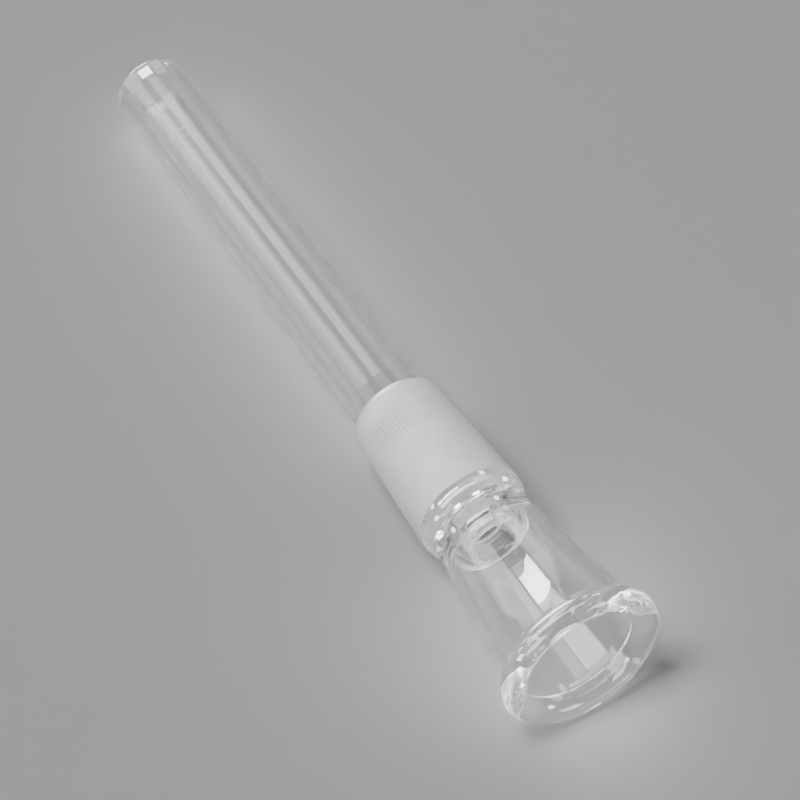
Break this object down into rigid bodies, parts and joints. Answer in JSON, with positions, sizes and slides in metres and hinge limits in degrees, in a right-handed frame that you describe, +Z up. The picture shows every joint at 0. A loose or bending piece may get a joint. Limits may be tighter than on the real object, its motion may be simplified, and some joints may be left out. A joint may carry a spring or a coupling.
{
  "type": "ground-joint funnel stem",
  "caption": "One-piece clear glass stem tube with a male ground joint, a narrow throat and a small flared bowl with a thick rolled lip.",
  "frame": {"origin": "on the surface it lies on, under the middle of its bounding box", "axes": "+Z up, +X towards the bowl's mouth; the turning axis lies in the XZ plane and rises 2.88 degrees towards the mouth, because the lip is wider than the stem"},
  "size_m": [0.152, 0.028, 0.028],
  "materials": {
    "stem_tube": "clear, smooth",
    "ground_joint": "finely ground, satin",
    "joint_shoulder": "clear, flame-smoothed",
    "bowl_throat": "clear, flame-smoothed",
    "bowl_cone": "clear, smooth",
    "bowl_lip": "clear, flame-smoothed"
  },
  "bodies": {
    "root": {"stem_tube": "stem_tube", "ground_joint": "ground_joint", "joint_shoulder": "joint_shoulder", "bowl_throat": "bowl_throat", "bowl_cone": "bowl_cone", "bowl_lip": "bowl_lip"}
  },
  "joints": []
}
